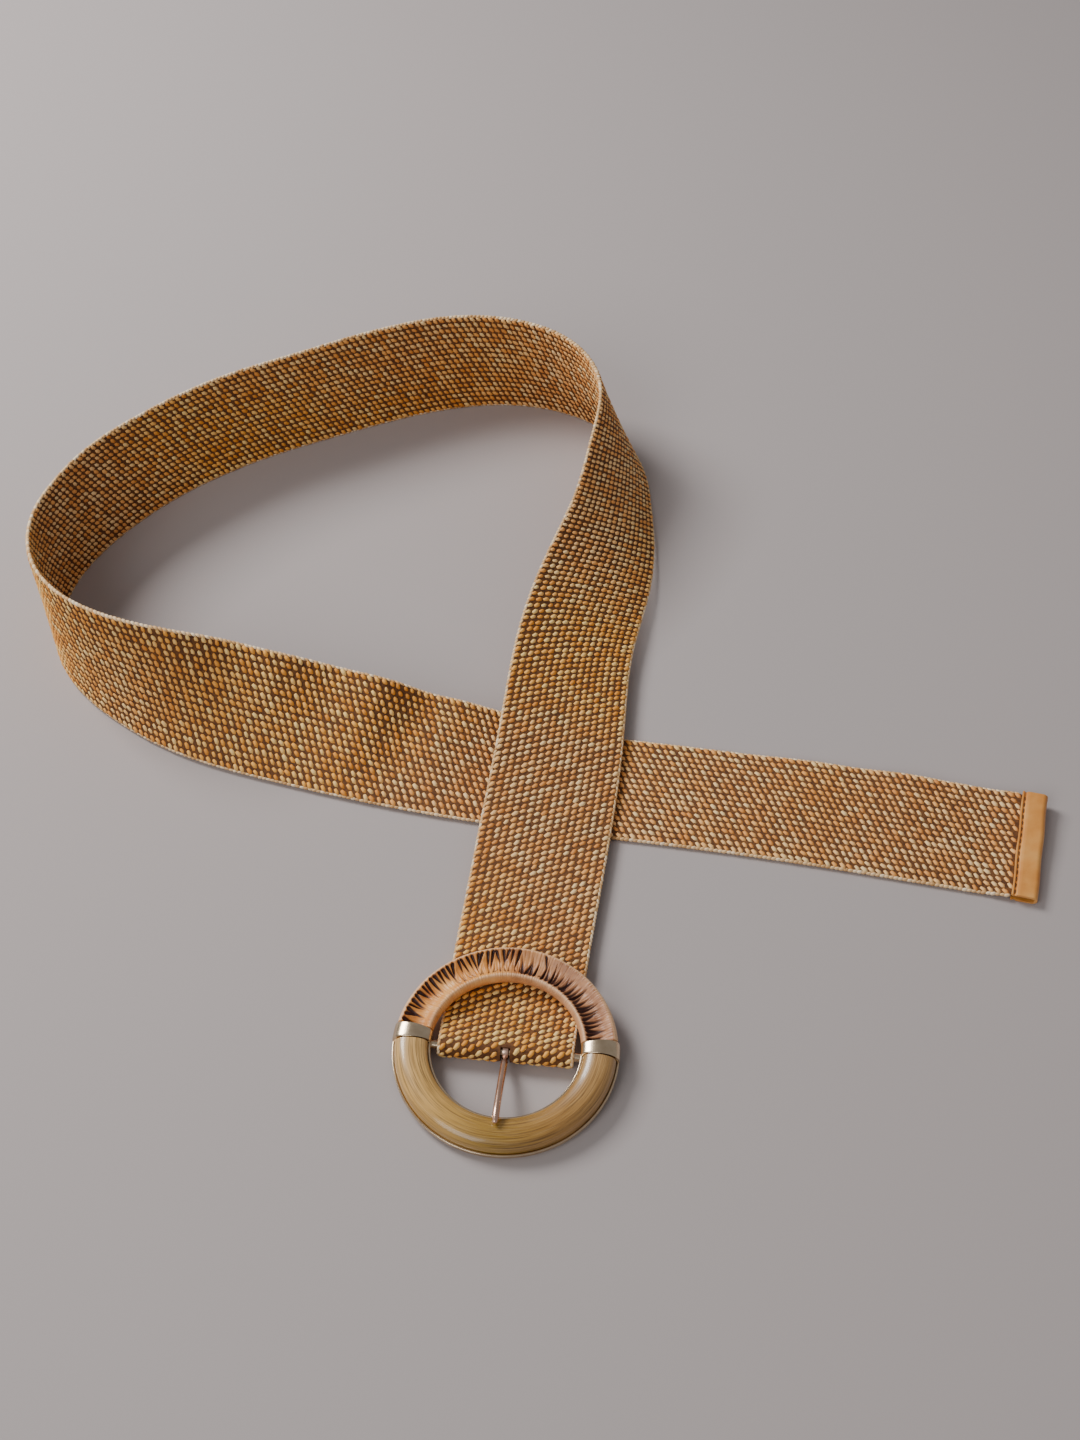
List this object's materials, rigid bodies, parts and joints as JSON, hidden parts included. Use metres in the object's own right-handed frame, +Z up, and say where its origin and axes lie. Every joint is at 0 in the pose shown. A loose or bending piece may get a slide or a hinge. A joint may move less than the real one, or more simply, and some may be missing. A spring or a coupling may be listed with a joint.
{
  "type": "waist belt",
  "caption": "Woven straw waist belt lying in an open loop, with a round buckle of metal, horn and laced leather and a leather-bound tip.",
  "frame": {"origin": "on the floor, under the middle of the belt's box as it lies", "axes": "+X along the free end towards the tip, +Y from the buckle towards the back of the loop, +Z up"},
  "size_m": [0.3622, 0.355, 0.045],
  "materials": {
    "straw": "straw cord woven in close upright columns, matt with a slight sheen",
    "tip_leather": "smooth tan leather, satin",
    "lacing_leather": "thin brown leather drawn in small folds, satin",
    "horn": "polished olive and brown horn with streaks along the ring",
    "pale_gold": "polished pale gold plating",
    "rose_gold": "polished rose gold plating"
  },
  "bodies": {
    "strap": {"woven_strap": "straw", "strap_tip": "tip_leather"},
    "buckle": {"buckle_frame": "pale_gold", "horn_inlay": "horn", "leather_wrap": "lacing_leather"},
    "prong": {"prong": "rose_gold"}
  },
  "joints": [
    {"name": "buckle_swing", "type": "hinge", "parent": "strap", "child": "buckle", "pos_m": [-0.00522, -0.14213, 0.00388], "axis": [0.9945, -0.1045, 0], "range_deg": [0, 60]},
    {"name": "prong_swing", "type": "hinge", "parent": "buckle", "child": "prong", "pos_m": [-0.00522, -0.14213, 0.00388], "axis": [-0.9945, 0.1045, 0], "range_deg": [0, 45]}
  ]
}
